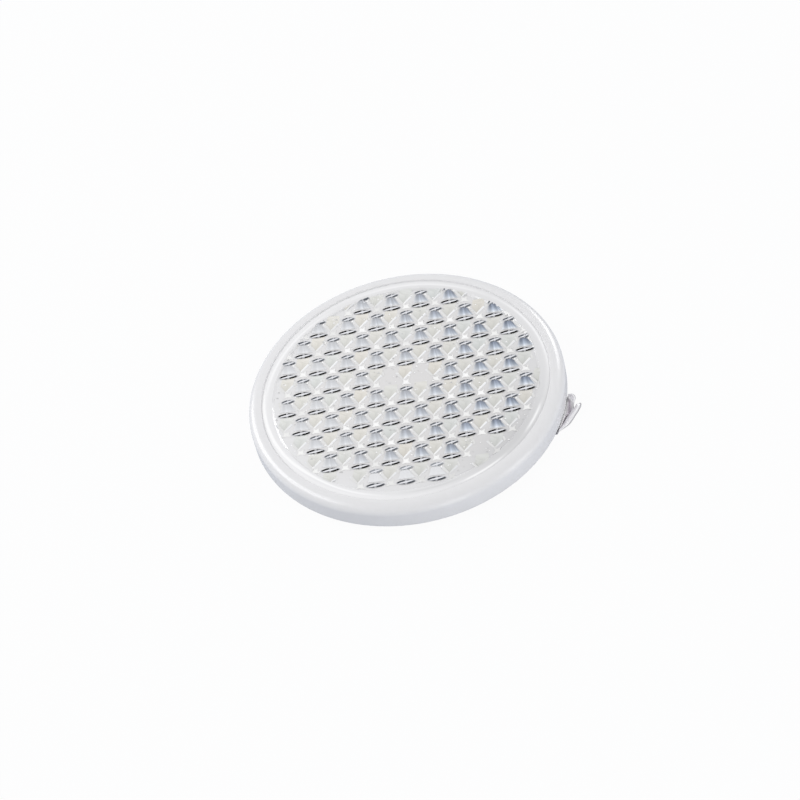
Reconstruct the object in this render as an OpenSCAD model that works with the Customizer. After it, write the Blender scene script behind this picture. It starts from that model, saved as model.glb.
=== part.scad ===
// Round stick-on reflector for a cycle: a clear prism lens welded into a white shell,
// with a foam adhesive pad on its back and a clear peel-off liner under the pad.
// Frame in millimetres: disc axis at the origin, +Z out through the lens, z = 0 on the
// underside of the liner. The prism rows run along X.

/* [Body] */
// outer diameter of the white shell
body_d = 60.2; // [54.5:0.1:66]
// height of the shell from its back face to the top of its rim
body_h = 4.75; // [4.3:0.05:5.2]
// thickness of the shell's floor
floor_t = 0.9; // [0.7:0.05:1.1]
// small rounding at the foot of the outer wall
foot_r = 0.4; // [0.2:0.05:0.6]
// height of the domed part of the rim, from the straight wall to the crest
crown_h = 1.7; // [1.3:0.05:2]
// width of the domed part of the rim
crown_w = 2.5; // [2:0.05:2.9]
// radius of the lip that turns down from the crest to the lens
lip_r = 0.2; // [0.1:0.05:0.3]
// width of the ledge the lens is welded down on
ledge_w = 1.45; // [1.1:0.05:1.7]

/* [Coring] */
// width of the ring groove that keeps the wall even, cut from the back
core_w = 1.2; // [0.8:0.05:1.5]
// depth of that ring groove
core_h = 2.3; // [1.5:0.05:2.6]

/* [Lens] */
// how far the flat margin of the lens sits below the crest
margin_drop = 0.25; // [0.15:0.05:0.35]
// how far the face over the prisms sits below the margin
field_drop = 0.2; // [0.1:0.05:0.3]
// clear plastic between the front face and the roots of the prisms
skin_t = 0.9; // [0.7:0.05:1.1]
// clearance between the locating ring and the round field of prisms
field_gap = 0.2; // [0.15:0.05:0.4]
// width of the sloping step round the field
step_w = 0.35; // [0.2:0.05:0.5]
// radial play between the lens and the shell pocket
lens_play = 0.06; // [0.04:0.01:0.1]
// bevel on the front edge of the lens
lens_bevel = 0.15; // [0.1:0.05:0.2]
// radial width of the locating ring under the lens
ring_w = 0.6; // [0.5:0.05:0.8]
// depth of the locating ring under the lens
ring_h = 1.1; // [0.8:0.05:1.3]
// height of the weld bead that holds the lens off the ledge
bead_h = 0.12; // [0.08:0.01:0.16]
// width of the weld bead
bead_w = 0.35; // [0.25:0.05:0.5]

/* [Prisms] */
// distance from one prism to the next in a row
prism_pitch = 5.657; // [5.1:0.01:6]
// flat left at the point of each prism, measured along its height
tip_flat = 0.08; // [0.05:0.01:0.12]
// sideways place of the groove crossings against the disc axis
row_shift_x = 0; // [-2.8:0.05:2.8]
// place of the first row of grooves against the disc axis
row_shift_y = 1.5; // [-2.4:0.05:2.4]

/* [Plain pads] */
// side of the six-sided plain pad near the middle
pad_mid_s = 3.6; // [2.5:0.1:4.5]
// place of the middle pad across the disc
pad_mid_x = 1.2; // [-3:0.1:3]
// place of the middle pad along the disc
pad_mid_y = 2.2; // [-3:0.1:4]
// radius of the round plain pad near the edge
pad_low_r = 3.4; // [2.5:0.1:4]
// distance of the round pad from the disc axis
pad_low_at = 20.6; // [18:0.1:21]
// direction of the round pad, degrees from X
pad_low_turn = -44; // [-60:1:-30]
// height of the plain pads behind the skin
plain_h = 0.7; // [0.5:0.05:0.9]

/* [Adhesive pad] */
// diameter of the foam pad
foam_d = 52; // [46:0.1:54]
// thickness of the foam pad
foam_t = 0.8; // [0.6:0.05:1]

/* [Liner] */
// thickness of the liner film
liner_t = 0.15; // [0.12:0.01:0.2]
// how far the liner reaches past the foam pad
liner_over = 0.4; // [0.2:0.05:0.6]
// angle the pull tab covers round the edge, degrees
tab_sweep = 18; // [12:1:24]
// direction of the middle of the pull tab, degrees from X
tab_turn = -14.5; // [-30:0.5:10]
// how far the pull tab sticks out past the shell
tab_out = 2.8; // [2:0.05:3.2]
// height the end of the pull tab curls up to
tab_curl = 1.3; // [0.8:0.05:1.6]
// angle from the far edge of the pull tab back to its point, degrees
tab_point = 4.5; // [2:0.5:6]

/* [Hidden] */
$fn = 96;
overlap = 0.05;
body_r = body_d / 2;
foot_z = liner_t + foam_t;
crest_z = foot_z + body_h;
wall_z = crest_z - crown_h;
crest_r = body_r - crown_w;
margin_z = crest_z - margin_drop;
front_z = margin_z - field_drop;
root_z = front_z - skin_t;
prism_h = prism_pitch / sqrt(6);
tip_z = root_z - prism_h + tip_flat;
floor_z = foot_z + floor_t;
pocket_r = crest_r - lip_r;
lens_r = pocket_r - lens_play;
cup_r = pocket_r - ledge_w;
ledge_z = root_z - bead_h;
ring_r = cup_r - lens_play;
field_r = ring_r - ring_w - field_gap;
bead_r = (cup_r + lens_r) / 2;
row_gap = prism_pitch * sqrt(3) / 2;
half_open = 1 / sqrt(2);
cut_h = prism_h + 2 * overlap;
groove_count = ceil(field_r / row_gap) + 1;
foam_r = foam_d / 2;
liner_r = foam_r + liner_over;
tab_r = body_r + tab_out;
curl_r = tab_curl - liner_t;
core_mid = (cup_r + body_r) / 2;
crown_steps = 12;
turn_step = 60;

// White moulded cup with a domed rim. The lens is welded down inside the rim.
module back_shell() {
    color([0.93, 0.93, 0.94])
    difference() {
        rotate_extrude()
            shell_section();
        ring_groove();
    }
}

// Half section of the cup, from the axis outwards.
module shell_section() {
    crown = [for (i = [0 : crown_steps])
        [crest_r + crown_w * cos(90 * i / crown_steps),
         wall_z + crown_h * sin(90 * i / crown_steps)]];
    lip = [for (a = [0 : 30 : 90])
        [crest_r - lip_r * sin(a), crest_z - lip_r + lip_r * cos(a)]];
    foot = [for (a = [0 : 30 : 90])
        [body_r - foot_r + foot_r * sin(a), foot_z + foot_r - foot_r * cos(a)]];
    polygon(concat(
        [[0, foot_z]], foot, crown, lip,
        [[pocket_r, ledge_z], [cup_r, ledge_z], [cup_r, floor_z], [0, floor_z]]
    ));
}

// Ring groove in the back of the cup, outside the foam pad.
module ring_groove() {
    translate([0, 0, foot_z - overlap])
        difference() {
            cylinder(h = core_h + overlap, r = core_mid + core_w / 2);
            translate([0, 0, -overlap])
                cylinder(h = core_h + 3 * overlap, r = core_mid - core_w / 2);
        }
}

// Clear lens moulding: flat margin, lower face over the field, prisms behind it.
module lens() {
    color([0.86, 0.9, 0.93, 0.45])
    union() {
        lens_plate();
        locating_ring();
        weld_bead();
        prism_field();
        plain_pads();
    }
}

// Round plate with a bevelled edge and the shallow step round the field.
module lens_plate() {
    rotate_extrude()
        polygon([
            [0, root_z], [lens_r, root_z],
            [lens_r, margin_z - lens_bevel], [lens_r - lens_bevel, margin_z],
            [field_r + step_w, margin_z], [field_r, front_z], [0, front_z]
        ]);
}

// Ring under the margin that drops inside the cup and centres the lens.
module locating_ring() {
    translate([0, 0, root_z - ring_h])
        difference() {
            cylinder(h = ring_h + overlap, r = ring_r);
            translate([0, 0, -overlap])
                cylinder(h = ring_h + 3 * overlap, r = ring_r - ring_w);
        }
}

// Bead under the margin that melts on to the ledge and holds the lens there.
module weld_bead() {
    translate([0, 0, ledge_z])
        difference() {
            cylinder(h = bead_h + overlap, r = bead_r + bead_w / 2);
            translate([0, 0, -overlap])
                cylinder(h = bead_h + 3 * overlap, r = bead_r - bead_w / 2);
        }
}

// Three-sided corner prisms, left between three sets of straight grooves.
module prism_field() {
    difference() {
        translate([0, 0, tip_z])
            cylinder(h = root_z - tip_z + overlap, r = field_r);
        groove_set(0);
        groove_set(turn_step);
        groove_set(2 * turn_step);
    }
}

// One set of even grooves through the chosen groove crossing.
module groove_set(turn) {
    translate([row_shift_x, row_shift_y, root_z])
        rotate([0, 0, turn])
            for (i = [-groove_count : groove_count])
                translate([0, i * row_gap, 0])
                    groove();
}

// Straight groove along X with its root on the skin.
module groove() {
    translate([-body_r, 0, 0])
        rotate([90, 0, 90])
            linear_extrude(height = body_d)
                polygon([
                    [0, 0], [-cut_h * half_open, -cut_h], [cut_h * half_open, -cut_h]
                ]);
}

// Smooth plain pads where the prisms are left out.
module plain_pads() {
    translate([pad_mid_x, pad_mid_y, root_z - plain_h])
        cylinder(h = plain_h + overlap, r = pad_mid_s, $fn = 6);
    rotate([0, 0, pad_low_turn])
        translate([pad_low_at, 0, root_z - plain_h])
            cylinder(h = plain_h + overlap, r = pad_low_r);
}

// Double-sided foam pad, set in from the edge so that it doesn't show from the front.
module adhesive_pad() {
    color([0.9, 0.9, 0.88])
    translate([0, 0, liner_t])
        cylinder(h = foam_t, r = foam_r);
}

// Clear film over the adhesive, with a curled pull tab that sticks out past the shell.
module release_liner() {
    color([0.84, 0.83, 0.88, 0.6])
    union() {
        cylinder(h = liner_t, r = liner_r);
        intersection() {
            rotate([0, 0, tab_turn - tab_sweep / 2])
                rotate_extrude(angle = tab_sweep)
                    tab_section();
            tab_outline();
        }
    }
}

// Leaf outline of the pull tab: it widens from the shell's edge up to its point.
module tab_outline() {
    low = tab_turn - tab_sweep / 2;
    high = tab_turn + tab_sweep / 2;
    tip = high - tab_point;
    tip_r = tab_r + overlap;
    shoulder_r = body_r + tab_out / 2;
    translate([0, 0, -overlap])
        linear_extrude(height = tab_curl + 2 * overlap)
            polygon([
                [0, 0],
                [body_r * cos(low), body_r * sin(low)],
                [tip_r * cos(tip), tip_r * sin(tip)],
                [shoulder_r * cos(high), shoulder_r * sin(high)]
            ]);
}

// Section of the pull tab: flat film that turns up at its outer end.
module tab_section() {
    outer = [for (a = [0 : 15 : 90])
        [tab_r - tab_curl + tab_curl * sin(a), tab_curl - tab_curl * cos(a)]];
    inner = [for (a = [90 : -15 : 0])
        [tab_r - tab_curl + curl_r * sin(a), tab_curl - curl_r * cos(a)]];
    polygon(concat(
        [[foam_r, 0]], outer, inner, [[foam_r, liner_t]]
    ));
}

lens();
back_shell();
adhesive_pad();
release_liner();
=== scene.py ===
import math
import random

import bmesh
import bpy
from mathutils import Matrix, Vector


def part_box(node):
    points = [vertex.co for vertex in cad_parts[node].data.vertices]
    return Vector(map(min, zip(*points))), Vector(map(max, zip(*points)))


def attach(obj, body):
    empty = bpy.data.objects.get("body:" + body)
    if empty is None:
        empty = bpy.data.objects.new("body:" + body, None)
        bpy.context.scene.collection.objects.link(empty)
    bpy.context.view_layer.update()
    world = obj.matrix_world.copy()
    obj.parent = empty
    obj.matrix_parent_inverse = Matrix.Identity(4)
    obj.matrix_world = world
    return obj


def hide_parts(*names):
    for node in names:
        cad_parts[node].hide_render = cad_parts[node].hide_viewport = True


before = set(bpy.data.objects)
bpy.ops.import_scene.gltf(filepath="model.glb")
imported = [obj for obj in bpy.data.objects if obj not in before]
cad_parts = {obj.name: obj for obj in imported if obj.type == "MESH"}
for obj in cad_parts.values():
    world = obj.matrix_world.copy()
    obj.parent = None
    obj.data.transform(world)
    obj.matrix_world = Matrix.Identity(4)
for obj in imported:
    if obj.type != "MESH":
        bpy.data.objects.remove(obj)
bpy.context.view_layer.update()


# Studio
# A pale table and plain soft light, with the camera where the photograph was
# taken from: above and in front, leaning a little, through a long lens.

def aim_camera(place, right, down, ahead, lens):
    shot = bpy.data.cameras.new("studio_camera")
    shot.lens = lens
    shot.sensor_width = 36.0
    shot.clip_start = 0.01
    camera = bpy.data.objects.new("studio_camera", shot)
    bpy.context.collection.objects.link(camera)
    turn = Matrix((right, [-n for n in down], [-n for n in ahead])).transposed().to_4x4()
    camera.matrix_world = Matrix.Translation(place) @ turn
    bpy.context.scene.camera = camera


def soft_lamp(name, place, along, width, height, watts):
    light = bpy.data.lights.new(name, "AREA")
    light.shape = "RECTANGLE"
    light.size = width
    light.size_y = height
    light.energy = watts
    lamp = bpy.data.objects.new(name, light)
    bpy.context.collection.objects.link(lamp)
    back = Vector(place).normalized()
    side = Vector(along).cross(back).normalized()
    turn = Matrix((side, back.cross(side), back)).transposed().to_4x4()
    lamp.matrix_world = Matrix.Translation(place) @ turn


aim_camera(place=(0.0710, -0.3776, 0.41558), right=(0.9851, 0.0008, -0.1721),
           down=(-0.1145, -0.7436, -0.6588), ahead=(-0.1285, 0.6687, -0.7324), lens=135.0)
soft_lamp("left_softbox", (-0.61, 0.20, 0.465), (0.23, -0.80, 0.56), width=0.20, height=1.0, watts=4.3)
soft_lamp("right_softbox", (0.38, 0.68, 0.28), (0.52, -0.55, 0.65), width=0.12, height=0.34, watts=1.6)
soft_lamp("front_softbox", (0.273, -0.66, 0.235), (0, 0, 1), width=0.28, height=0.5, watts=1.15)
soft_lamp("side_softbox", (0.66, -0.273, 0.235), (0, 0, 1), width=0.28, height=0.5, watts=1.4)

world = bpy.data.worlds.new("studio_air")
bpy.context.scene.world = world
world.use_nodes = True
air = world.node_tree
air.nodes.clear()
air_out = air.nodes.new("ShaderNodeOutputWorld")
air_mix = air.nodes.new("ShaderNodeMixShader")
air_fill = air.nodes.new("ShaderNodeBackground")
air_fill.inputs["Color"].default_value = (0.83, 0.83, 0.84, 1)
air_fill.inputs["Strength"].default_value = 0.57
air_white = air.nodes.new("ShaderNodeBackground")
air_white.inputs["Color"].default_value = (1, 1, 1, 1)
air_white.inputs["Strength"].default_value = 1.0
air_ray = air.nodes.new("ShaderNodeLightPath")
air.links.new(air_ray.outputs["Is Camera Ray"], air_mix.inputs[0])
air.links.new(air_fill.outputs[0], air_mix.inputs[1])
air.links.new(air_white.outputs[0], air_mix.inputs[2])
air.links.new(air_mix.outputs[0], air_out.inputs[0])
bpy.context.scene.view_settings.view_transform = "Standard"

table_half = 1.5
table_mesh = bmesh.new()
bmesh.ops.create_grid(table_mesh, x_segments=1, y_segments=1, size=table_half)
table_data = bpy.data.meshes.new("studio_table")
table_mesh.to_mesh(table_data)
table_mesh.free()
studio_table = bpy.data.objects.new("studio_table", table_data)
bpy.context.collection.objects.link(studio_table)
table_paint = bpy.data.materials.new("white_table")
table_paint.use_nodes = True
paint = table_paint.node_tree
paint.nodes.clear()
paint_out = paint.nodes.new("ShaderNodeOutputMaterial")
paint_mix = paint.nodes.new("ShaderNodeMixShader")
paint_matt = paint.nodes.new("ShaderNodeBsdfDiffuse")
paint_matt.inputs["Color"].default_value = (0.58, 0.61, 0.67, 1)
paint_white = paint.nodes.new("ShaderNodeEmission")
paint_white.inputs["Color"].default_value = (1, 1, 1, 1)
paint_white.inputs["Strength"].default_value = 1.0
paint_ray = paint.nodes.new("ShaderNodeLightPath")
paint_share = paint.nodes.new("ShaderNodeMath")
paint_share.operation = "MULTIPLY"
paint_share.inputs[1].default_value = 0.96
paint.links.new(paint_ray.outputs["Is Camera Ray"], paint_share.inputs[0])
paint.links.new(paint_share.outputs[0], paint_mix.inputs[0])
paint.links.new(paint_matt.outputs[0], paint_mix.inputs[1])
paint.links.new(paint_white.outputs[0], paint_mix.inputs[2])
paint.links.new(paint_mix.outputs[0], paint_out.inputs[0])
table_data.materials.append(table_paint)


# Back shell
# One white cup moulded in ABS, with a domed rim that stands round the lens.
# The lens is welded down on the ledge inside the rim.

def moulded_plastic(name, colour, roughness):
    material = bpy.data.materials.new(name)
    material.use_nodes = True
    shader = material.node_tree.nodes["Principled BSDF"]
    shader.inputs["Base Color"].default_value = (*colour, 1)
    shader.inputs["Roughness"].default_value = roughness
    shader.inputs["IOR"].default_value = 1.52
    return material, shader


def add_grain(material, shader, scale, strength, height, low=None, high=None):
    tree = material.node_tree
    place = tree.nodes.new("ShaderNodeTexCoord")
    grain = tree.nodes.new("ShaderNodeTexNoise")
    grain.inputs["Scale"].default_value = scale
    grain.inputs["Detail"].default_value = 3
    tree.links.new(place.outputs["Object"], grain.inputs["Vector"])
    if low:
        ramp = tree.nodes.new("ShaderNodeValToRGB")
        ramp.color_ramp.elements[0].color = (*low, 1)
        ramp.color_ramp.elements[1].color = (*high, 1)
        tree.links.new(grain.outputs["Fac"], ramp.inputs["Fac"])
        tree.links.new(ramp.outputs["Color"], shader.inputs["Base Color"])
    bump = tree.nodes.new("ShaderNodeBump")
    bump.inputs["Strength"].default_value = strength
    bump.inputs["Distance"].default_value = height
    tree.links.new(grain.outputs["Fac"], bump.inputs["Height"])
    tree.links.new(bump.outputs["Normal"], shader.inputs["Normal"])


def show_tones(material, shader, layer):
    tones = material.node_tree.nodes.new("ShaderNodeVertexColor")
    tones.layer_name = layer
    material.node_tree.links.new(tones.outputs["Color"], shader.inputs["Base Color"])


def finish_part(node, material):
    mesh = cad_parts[node].data
    mesh.materials.clear()
    mesh.materials.append(material)


white_abs, white_shader = moulded_plastic("white_abs", (0.80, 0.80, 0.81), roughness=0.27)
add_grain(white_abs, white_shader, scale=900, strength=0.06, height=0.00001,
          low=(0.785, 0.785, 0.79), high=(0.815, 0.815, 0.83))
finish_part("back_shell", white_abs)


# Lens
# One clear acrylic moulding: a glossy front, a flat welded margin and rows of
# corner prisms on its back, which throw light back to where it came from.

clear_acrylic, acrylic_shader = moulded_plastic("clear_acrylic", (1, 1, 1), roughness=0.0)
acrylic_shader.inputs["Transmission Weight"].default_value = 1.0
acrylic_shader.inputs["IOR"].default_value = 1.49
add_grain(clear_acrylic, acrylic_shader, scale=300, strength=0.02, height=0.00002)
finish_part("lens", clear_acrylic)


# Face of the lens
# The acrylic's front surface, as one thin skin painted with the reflections, glints and shade that
# the prisms behind show through it, with painted light and shade on its margin. Each corner gives a
# dark slim eye that looks back at the viewer, a smaller one behind it, a blue-grey bell between the two, a
# cream kite, white sparkles and loose flecks: all painted reflections and glints.

prism_pitch = 0.005657
prism_row = prism_pitch * math.sqrt(3) / 2
field_radius, step_width, step_rise = 0.02507, 0.00035, 0.0002
art_radius, art_trim = 0.02555, 0.0003
lens_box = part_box("lens")
skin_gap, skin_thickness, layer_rise = 0.00001, 0.000008, 0.000015
margin_level = lens_box[1][2] + skin_gap
front_level = margin_level - step_rise
weld_overlap, bevel_width, bevel_drop = 0.00008, 0.00015, 0.00003
margin_radius = lens_box[1][0] + weld_overlap
eye_shift_x, eye_shift_y = 0.00015, 0.00152
first_eye = Vector((prism_pitch / 2 + eye_shift_x, eye_shift_y, 0))
plain_spots = (Vector((0.0, 0.0016, 0)), Vector((0.0141, -0.0176, 0)))
plain_reach, whole_reach, part_reach, last_row = 0.0035, 0.0247, 0.029, -0.0200
kite_layer, stroke_layer, star_layer, bell_layer, glint_layer, eye_layer = 1, 1.5, 2, 3, 4, 5
glint_fleck_layers = (2.1, 2.9)
chance = random.Random(11)
facet_mesh = bmesh.new()
painted_light_colours = facet_mesh.loops.layers.float_color.new("painted_reflection_and_shade")


def seen_tone(red, green, blue):
    light = [((c / 255 + 0.055) / 1.055) ** 2.4 for c in (red, green, blue)]
    gain, glare = 0.90, 0.032
    return Vector([min(0.98, max(0.0, c / gain - glare)) for c in light])


def surface_rise(reach):
    return (margin_level - front_level) * max(0, min(1, (reach - field_radius) / step_width))


# Painted shade over the field: darker towards +x, lighter towards +y.
def place_shade(spot):
    return 1.0 - 0.06 * spot.x / 0.025 + 0.02 * spot.y / 0.025


# Corners are in pitches from the middle of the front eye. One tone paints the whole facet.
def facet(spot, layer, corners, tones):
    places = [spot + Vector((u * prism_pitch, v * prism_pitch, 0)) for u, v in corners]
    if min(place.xy.length for place in places) > art_radius - art_trim:
        return
    for place in places:
        if place.xy.length > art_radius:
            place *= art_radius / place.xy.length
        place.z = layer * layer_rise + surface_rise(place.xy.length)
    paint = tones if len(tones) == len(corners) else [tones[0]] * len(corners)
    same_place = 0.000003
    kept = [turn for turn in range(len(places))
            if (places[turn] - places[turn - 1]).length > same_place]
    if len(kept) < 3:
        return
    face = facet_mesh.faces.new([facet_mesh.verts.new(places[turn]) for turn in kept])
    face.normal_update()
    for corner, tone in zip(face.loops, [paint[turn] for turn in kept]):
        corner[painted_light_colours] = (*tone, 1)
    if face.normal.z < 0:
        face.normal_flip()


# Painted reflection: a dark slim eye with a pale core, its strokes fading to a paler reflected tone towards
# the tips and broken in the middle.
def slim_eye(spot, centre, half, tilt, reflected_dark, reflected_faint):
    core = seen_tone(228, 229, 233)
    core_width, core_height, core_lean = 0.84, 0.40, 0.32
    steps = 24
    ring = []
    for step in range(steps):
        turn = 2 * math.pi * (step - 0.5) / steps
        east, north = math.cos(turn), math.sin(turn) * (0.65 + 0.35 * abs(math.sin(turn)))
        fade = abs(math.cos(turn)) if 4 * step // steps in (0, 2) else 0
        outer = (centre[0] + half[0] * east, centre[1] + half[1] * north + tilt * half[0] * east)
        inner = (centre[0] + core_width * half[0] * east,
                 centre[1] + core_height * half[1] * north + (tilt * half[0] + core_lean * half[1]) * east)
        ring.append((outer, inner, reflected_dark.lerp(reflected_faint, min(1, fade * 1.15))))
    facet(spot, eye_layer, [inner for outer, inner, tone in ring], [core])
    for step in range(steps):
        here, there = ring[step], ring[(step + 1) % steps]
        tones = [here[2], there[2], there[2], here[2]]
        if step % (steps // 2) == steps // 4:
            tones = [reflected_dark.lerp(core, 0.50)]
        facet(spot, eye_layer + 1, [here[0], there[0], there[1], here[1]], tones)


# Painted reflection: the blue-grey bell between the two eyes, paling at its foot, with one painted
# highlight streak and three dull streaks.
def bell(spot, weight):
    pale = seen_tone(226, 227, 229)
    levels = ((0.0, seen_tone(122, 128, 142)), (0.35, seen_tone(143, 151, 165)),
              (0.65, seen_tone(168, 177, 190)), (0.85, seen_tone(196, 202, 211)),
              (1.0, seen_tone(216, 219, 223)))
    columns, highlight_column, dull_columns = 11, 5, (2, 3, 10)
    foot = 0.095
    grid = []
    for step in range(columns + 1):
        across = step / columns
        crown = 0.40 + 0.11 * math.sin(math.pi * min(1, across * 1.05))
        side_fade = min(1, 0.35 + 4 * min(across, 1.1 - across))
        streak = 1.0 + chance.uniform(-0.24, 0.24)
        if step == highlight_column:
            streak = 1.35
        if step in dull_columns:
            streak = 0.80
        column = []
        for down, tone in levels:
            flare = down ** 1.3
            west, east = -0.19 - 0.07 * flare, 0.13 + 0.18 * flare
            place = (west + (east - west) * across, crown + (foot - crown) * down)
            edge = weight * side_fade * (1 - 1.5 * down * max(0, 0.4 - across))
            grey = Vector([sum(tone) / 3] * 3)
            streaked = tone.lerp(grey, max(0, 0.9 - weight)) * streak
            column.append((place, pale.lerp(streaked, max(0, min(1, edge)))))
        grid.append(column)
    for west, east in zip(grid, grid[1:]):
        for row in range(len(levels) - 1):
            quad = [west[row], west[row + 1], east[row + 1], east[row]]
            facet(spot, bell_layer, [place for place, tone in quad], [tone for place, tone in quad])


# Painted reflection: the cream kite in light, middle, low and dull reflected tones, under the painted shade
# of place_shade.
def kite(spot):
    shade = place_shade(spot)
    warm = chance.uniform(-3, 3)
    light, middle, low, dull = [seen_tone(c + warm, c, c - warm - d) * shade
                                for c, d in ((221, 3), (215, 5), (199, 4), (207, 4))]
    foot, heart, east_tip, west_tip = (0.42, 0.15), (0.48, 0.50), (0.71, 0.62), (0.27, 0.62)
    facet(spot, kite_layer, [foot, (0.66, 0.44), east_tip, heart], [low, middle, light, dull])
    facet(spot, kite_layer, [foot, heart, west_tip, (0.24, 0.44)], [low, middle, light, dull])
    facet(spot, kite_layer, [heart, east_tip, (0.70, 0.78), (0.30, 0.78), west_tip],
          [dull, light, middle, light, middle])


# Painted highlights: a white star and strokes at each corner, dimmer where x exceeds y and beyond 21.5 mm
# from the middle.
def sparkles(spot):
    gleam = chance.uniform(-16, 4) - 8 * max(0, spot.x - spot.y) / 0.025
    if spot.length > 0.0215:
        gleam -= 6
    white = seen_tone(248 + gleam, 248 + gleam, 247 + gleam)
    dim_glint, glint = seen_tone(222, 222, 221), seen_tone(230, 232, 236)
    star = [(0.38, 0.12), (0.50, 0.04), (0.62, 0.14), (0.58, -0.02),
            (0.68, -0.16), (0.50, -0.10), (0.34, -0.16), (0.42, -0.02)]
    right_stroke = [(0.37, 0.10), (0.44, 0.10), (0.70, 0.38), (0.64, 0.44)]
    left_hook = [(0.14, 0.42), (0.19, 0.47), (0.23, 0.42), (0.42, 0.14), (0.36, 0.12), (0.26, 0.24)]
    back_stroke = [(-0.33, 0.55), (-0.27, 0.58), (-0.22, 0.42), (-0.27, 0.34)]
    facet(spot, star_layer, star, [dim_glint, white] * 4)
    facet(spot, stroke_layer, right_stroke, [white, white, glint, white])
    facet(spot, stroke_layer, left_hook, [glint] + [dim_glint] * 5)
    facet(spot, stroke_layer, back_stroke, [dim_glint])


# Painted glints: seven small triangles a corner, most bright, a few darker, as broken reflections.
def glint_flecks(spot):
    for glint_fleck in range(7):
        u, v, size = chance.uniform(-0.5, 0.5), chance.uniform(-0.2, 0.7), chance.uniform(0.02, 0.05)
        level = chance.choice((196, 206, 240, 246, 248))
        corners = [(u - size, v), (u + size, v - size * 0.6), (u + size * 0.3, v + size)]
        facet(spot, chance.uniform(*glint_fleck_layers), corners, [seen_tone(level, level, level)])


def ground(spot):
    kite(spot)
    sparkles(spot)
    glint_flecks(spot)


def bell_and_eyes(spot):
    faded = spot.y < last_row
    # Painted reflections of one corner: bolder towards +x, and faint in the rows below last_row on the -y
    # side.
    weight = max(0.32, min(1.1, 0.62 + 0.44 * spot.x / 0.022 + 0.12 * abs(spot.y) / 0.022))
    bell(spot, (0.1 if faded else 1.0) * weight)
    # A painted glint on the bell's top.
    facet(spot, glint_layer, [(0.12, 0.44), (0.16, 0.39), (0.20, 0.44), (0.16, 0.49)],
          [seen_tone(250, 250, 250)])
    dark, grey = (84, 150) if faded else (34, 98)
    slim_eye(spot, (0.0, -0.052), (0.318, 0.094), 0.040,
             seen_tone(dark, dark + 3, dark + 8), seen_tone(176, 178, 182))
    slim_eye(spot, (0.01, 0.550), (0.225, 0.084), 0.10,
             seen_tone(grey, grey + 4, grey + 10), seen_tone(196, 198, 201))


# Painted highlight streaks on the margin, the last one, with a negative gain, a painted dark streak. Each
# streak: its middle and spread in degrees, its radius, its drift per degree and its gain.
margin_painted_streaks = ((202, 26, 0.0266, -0.00002, 34), (303, 9, 0.0269, 0, 34),
                  (335, 7, 0.0266, 0, 34), (238, 22, 0.0261, 0.00001, 17),
                  (268, 14, 0.0275, 0, 15), (150, 24, 0.0263, 0.00001, 15),
                  (20, 24, 0.0270, -0.00001, 17), (84, 28, 0.0264, 0, 13),
                  (282, 12, 0.0259, 0, -9))


# Painted light and shade on the margin: lighter towards 195 degrees, darker round -38 degrees, a painted
# dark ring at 24.7 mm, a painted light ring at 26.9 mm and the painted streaks.
def margin_light_and_shade(place):
    turn = math.degrees(math.atan2(place.y, place.x))
    reach = place.xy.length
    shade_ring, highlight_ring, streak_half = 0.0247, 0.0269, 0.00022
    level = 224 + 4 * math.cos(math.radians(turn + 165)) - 16 * math.exp(-((turn + 38) / 28) ** 2)
    level -= 6 * math.exp(-((reach - shade_ring) / 0.0005) ** 2)
    level += 7 * math.exp(-((reach - highlight_ring) / 0.0004) ** 2)
    for middle, spread, start, drift, gain in margin_painted_streaks:
        away = (turn - middle + 180) % 360 - 180
        line = start + drift * away
        level += gain * math.exp(-(away / spread) ** 4 - ((reach - line) / streak_half) ** 2)
    return seen_tone(level, level, level + 1)


bmesh.ops.create_circle(facet_mesh, cap_ends=True, segments=128, radius=field_radius * 0.5)
rings = [(field_radius * 0.75, front_level), (field_radius, front_level)]
margin_start, margin_end, margin_rings = field_radius + step_width, margin_radius - bevel_width, 12
for step in range(margin_rings + 1):
    rings.append((margin_start + (margin_end - margin_start) * step / margin_rings, margin_level))
rings.append((margin_radius, margin_level - bevel_drop))
edges = facet_mesh.edges[:]
for reach, level in rings:
    grown = bmesh.ops.extrude_edge_only(facet_mesh, edges=edges)["geom"]
    edges = [part for part in grown if isinstance(part, bmesh.types.BMEdge)]
    for vert in [part for part in grown if isinstance(part, bmesh.types.BMVert)]:
        out = vert.co.xy.normalized() * reach
        vert.co = (out.x, out.y, level - front_level)
bmesh.ops.poke(facet_mesh, faces=[max(facet_mesh.faces, key=lambda face: len(face.verts))])
bmesh.ops.recalc_face_normals(facet_mesh, faces=facet_mesh.faces[:])
for face in facet_mesh.faces:
    if face.normal.z < 0:
        face.normal_flip()
    for corner in face.loops:
        # The field under the cells gets one pale tone under the painted shade of place_shade; the margin
        # gets its painted light and shade.
        place = corner.vert.co
        inside = place.xy.length < field_radius * 0.9
        tone = seen_tone(217, 216, 216) * place_shade(place) if inside else margin_light_and_shade(place)
        corner[painted_light_colours] = (*tone, 1)
for row in range(-5, 6):
    for step in range(-5, 6):
        spot = first_eye + Vector(((step + 0.5 * (row % 2)) * prism_pitch, row * prism_row, 0))
        plain = min((spot - middle).length for middle in plain_spots) < plain_reach
        if plain or spot.length < part_reach:
            ground(spot)
        if plain:
            glint_flecks(spot)
        elif spot.length < whole_reach:
            bell_and_eyes(spot)
bmesh.ops.translate(facet_mesh, verts=facet_mesh.verts[:], vec=(0, 0, front_level))
facet_data = bpy.data.meshes.new("lens_face")
facet_mesh.to_mesh(facet_data)
facet_mesh.free()
lens_face = bpy.data.objects.new("lens_face", facet_data)
bpy.context.collection.objects.link(lens_face)
skin_wall = lens_face.modifiers.new("skin_wall", "SOLIDIFY")
skin_wall.thickness = skin_thickness
skin_wall.offset = -1
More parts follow.
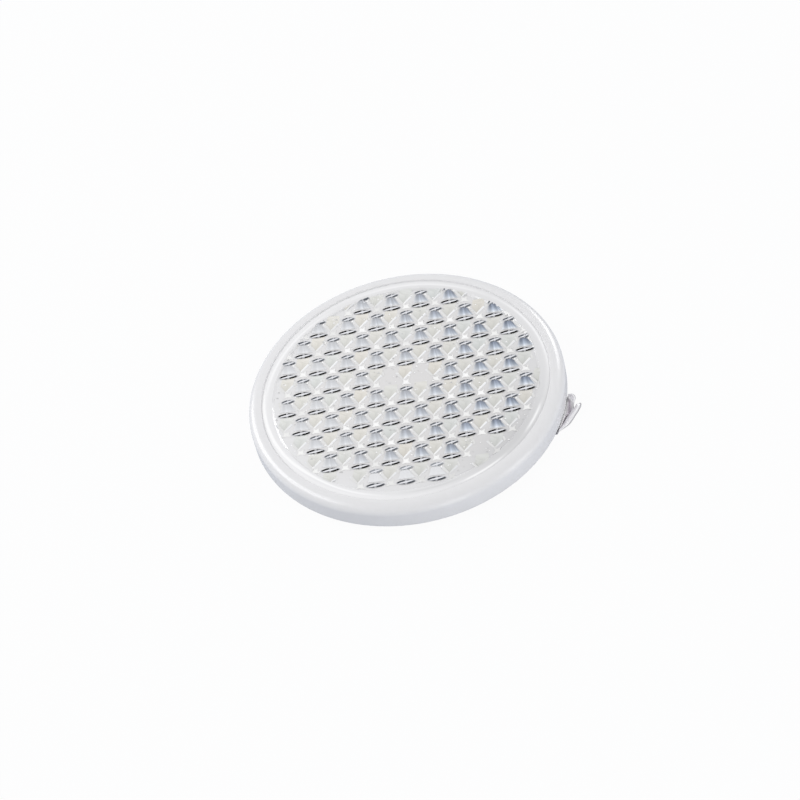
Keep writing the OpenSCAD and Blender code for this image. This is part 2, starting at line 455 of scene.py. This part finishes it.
# The skin's material shows the painted reflections, glints and shade held in its vertex tones.
painted_light_material, painted_light_shader = moulded_plastic("painted_reflections_and_shade", (0.9, 0.9, 0.9), roughness=0.12)
painted_light_shader.inputs["Specular IOR Level"].default_value = 0.25
show_tones(painted_light_material, painted_light_shader, "painted_reflection_and_shade")
add_grain(painted_light_material, painted_light_shader, scale=240, strength=0.05, height=0.00003)
facet_data.materials.append(painted_light_material)
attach(lens_face, "root")


# Adhesive pad
# A disc of white closed-cell foam tape, coated with adhesive on both faces
# and stuck into the back of the shell.

foam_tape, foam_shader = moulded_plastic("foam_tape", (0.72, 0.72, 0.70), roughness=0.9)
add_grain(foam_tape, foam_shader, scale=2600, strength=0.35, height=0.00006,
          low=(0.66, 0.66, 0.64), high=(0.78, 0.78, 0.76))
finish_part("adhesive_pad", foam_tape)


# Release liner
# Thin clear polyester film that covers the adhesive until the reflector is
# stuck on. Its pull tab sticks out at the side and has crumpled: a rolled edge,
# a pointed corner and a loop next to the shell.

liner_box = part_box("release_liner")
liner_radius, liner_thickness = -liner_box[0][0], 0.00015
tab_half_thickness, tab_columns = 0.00005, 56
tab_start, tab_sweep = -22.5, 17.0
held_reach, root_reach, collar_reach, root_level = 0.0262, 0.0298, 0.03018, 0.00008
film_mesh = bmesh.new()
film_colours = film_mesh.loops.layers.float_color.new("film_tone_and_light")
# Points along the tab's outer edge and along its fold, in millimetres.
film_edge = [(27.56, -11.1, 0.2), (29.75, -9.7, 0.35), (30.7, -8.55, 0.45), (31.3, -7.55, 0.55),
             (31.85, -6.7, 0.65), (32.4, -5.6, 0.8), (32.3, -4.95, 0.85), (31.6, -5.5, 0.8),
             (31.05, -6.0, 0.7), (31.15, -4.8, 1.1), (31.5, -4.15, 1.5), (31.3, -3.6, 1.75),
             (30.85, -3.25, 1.75), (30.1, -3.05, 1.5)]
film_fold = [(27.4, -11.2, 0.15), (29.05, -8.6, 0.5), (30.05, -7.2, 0.6), (31.0, -6.4, 0.65),
             (30.8, -5.3, 0.7), (30.7, -4.4, 1.2), (30.1, -3.5, 1.5)]


def along(points, share):
    reach = share * (len(points) - 1)
    first = min(int(reach), len(points) - 2)
    part = reach - first
    before, start, end, after = [Vector(points[max(0, min(len(points) - 1, first + shift))]) / 1000
                                 for shift in (-1, 0, 1, 2)]
    return 0.5 * (2 * start + (end - before) * part + (2 * before - 5 * start + 4 * end - after) * part ** 2
                  + (3 * start - 3 * end + after - before) * part ** 3)


def film_lines():
    lines = [[] for row in range(8)]
    for step in range(tab_columns):
        share = step / (tab_columns - 1)
        turn = math.radians(tab_start + tab_sweep * share)
        east, north = math.cos(turn), math.sin(turn)
        held = Vector((held_reach * east, held_reach * north, root_level))
        root = Vector((root_reach * east, root_reach * north, root_level))
        lift = 0.0009 + 0.0005 * math.sin(math.pi * min(1, share * 1.1))
        collar = Vector((collar_reach * east, collar_reach * north, lift))
        fold, edge = along(film_fold, share), along(film_edge, share)
        bowl = collar.lerp(fold, 0.5)
        bowl.z = min(collar.z, fold.z) * 0.75
        roll = fold.lerp(edge, 0.5)
        roll.z = max(fold.z, edge.z) + 0.30 * (edge - fold).length
        crease = fold.lerp(edge, 0.80)
        crease.z = edge.z + 0.12 * (edge - fold).length
        for line, place in zip(lines, (held, root, collar, bowl, fold, roll, crease, edge)):
            line.append(place)
    return lines


def film_sheet(lines, tones):
    last, end = len(lines) - 1, tab_columns - 1
    skins = [[], []]
    for row, line in enumerate(lines):
        for skin in skins:
            skin.append([])
        for step, place in enumerate(line):
            across = lines[min(row + 1, last)][step] - lines[max(row - 1, 0)][step]
            onward = line[min(step + 1, end)] - line[max(step - 1, 0)]
            lift = across.cross(onward).normalized() * tab_half_thickness
            skins[0][row].append(film_mesh.verts.new(place + lift))
            skins[1][row].append(film_mesh.verts.new(place - lift))
    faces = []
    for row in range(last):
        for step in range(end):
            for skin in skins:
                faces.append(([skin[row][step], skin[row + 1][step],
                               skin[row + 1][step + 1], skin[row][step + 1]],
                              (row, row + 1, row + 1, row)))
    for step in range(end):
        for row in (0, last):
            faces.append(([skins[0][row][step], skins[0][row][step + 1],
                           skins[1][row][step + 1], skins[1][row][step]], (row,) * 4))
    for row in range(last):
        for step in (0, end):
            faces.append(([skins[0][row][step], skins[0][row + 1][step],
                           skins[1][row + 1][step], skins[1][row][step]], (row, row + 1, row + 1, row)))
    for corners, rows in faces:
        face = film_mesh.faces.new(corners)
        face.smooth = True
        for corner, row in zip(face.loops, rows):
            corner[film_colours] = (*tones[row], 1)


# The film's tones by row: milky, a mauve tint that is also painted shade in the bowl, painted shine on the
# collar, fold and crease, and painted shade along the outer edge.
mauve_and_shade, milky = seen_tone(196, 186, 198), seen_tone(232, 229, 235)
painted_shine, edge_shade = seen_tone(248, 247, 249), seen_tone(158, 154, 160)
film_sheet(film_lines(), (milky, milky, painted_shine, mauve_and_shade, painted_shine, milky, painted_shine, edge_shade))
bmesh.ops.recalc_face_normals(film_mesh, faces=film_mesh.faces[:])
disc = bmesh.ops.create_cone(film_mesh, cap_ends=True, segments=128, depth=liner_thickness,
                             radius1=liner_radius, radius2=liner_radius)
bmesh.ops.translate(film_mesh, verts=disc["verts"], vec=(0, 0, liner_thickness / 2))
for vert in disc["verts"]:
    for corner in vert.link_loops:
        corner[film_colours] = (*seen_tone(214, 213, 219), 1)
film_data = bpy.data.meshes.new("crumpled_film")
film_mesh.to_mesh(film_data)
film_mesh.free()
crumpled_film = bpy.data.objects.new("crumpled_film", film_data)
bpy.context.collection.objects.link(crumpled_film)
liner_film, film_shader = moulded_plastic("liner_film", (0.80, 0.78, 0.84), roughness=0.12)
show_tones(liner_film, film_shader, "film_tone_and_light")
add_grain(liner_film, film_shader, scale=420, strength=0.5, height=0.00004)
film_data.materials.append(liner_film)
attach(crumpled_film, "root")
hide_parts("release_liner")
